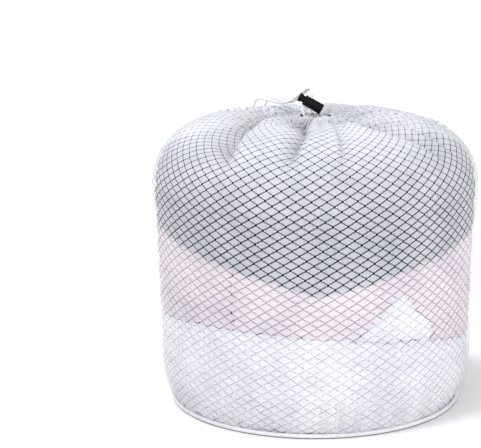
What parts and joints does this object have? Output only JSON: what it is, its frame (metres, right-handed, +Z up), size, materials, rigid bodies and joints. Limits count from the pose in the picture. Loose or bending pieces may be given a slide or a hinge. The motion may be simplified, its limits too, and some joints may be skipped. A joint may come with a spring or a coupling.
{
  "type": "mesh laundry bag",
  "caption": "Drawstring laundry bag of diamond-pattern knitted mesh, standing full on a round base, gathered at the top by a cord with a push-button cord lock.",
  "frame": {"origin": "centre of the round base, on the floor that the bag stands on", "axes": "+Z up through the gathered mouth; the front faces -Y and +X is to its right; the upright seam is inside the back at +Y"},
  "size_m": [0.324, 0.3367, 0.3131],
  "materials": {
    "mesh": "matte",
    "tape": "matte",
    "thread": "matte",
    "cord": "matte",
    "lock_black": "satin",
    "spring_steel": "satin",
    "white_cloth": "matte",
    "pink_cloth": "matte",
    "dark_cloth": "matte"
  },
  "bodies": {
    "bag": {"mesh_side_panel": "mesh", "mesh_base_panel": "mesh", "side_seam_tape": "tape", "base_seam_binding": "tape", "base_seam_stitches": "thread", "drawcord_channel": "mesh", "drawcord_loop": "cord", "drawcord_tail_front": "cord", "drawcord_tail_rear": "cord", "drawcord_end_knot": "cord", "white_laundry_lower": "white_cloth", "white_laundry_corner": "white_cloth", "pink_laundry_left": "pink_cloth", "pink_laundry_right": "pink_cloth", "dark_laundry_left": "dark_cloth", "dark_laundry_right": "dark_cloth"},
    "cord_lock": {"cord_lock_barrel": "lock_black", "cord_lock_spring": "spring_steel"},
    "lock_button": {"cord_lock_plunger": "lock_black"}
  },
  "joints": [
    {"name": "cord_lock_slide", "type": "slide", "parent": "bag", "child": "cord_lock", "axis": [0, 0, 1], "range_m": [0, 0.03], "deforming": ["drawcord_tail_front", "drawcord_tail_rear"]},
    {"name": "button_press", "type": "slide", "parent": "cord_lock", "child": "lock_button", "axis": [0.866, 0, -0.5], "range_m": [0, 0.0025], "stiffness_N_per_m": 1200, "springref_m": -0.002, "deforming": ["cord_lock_spring"]}
  ]
}
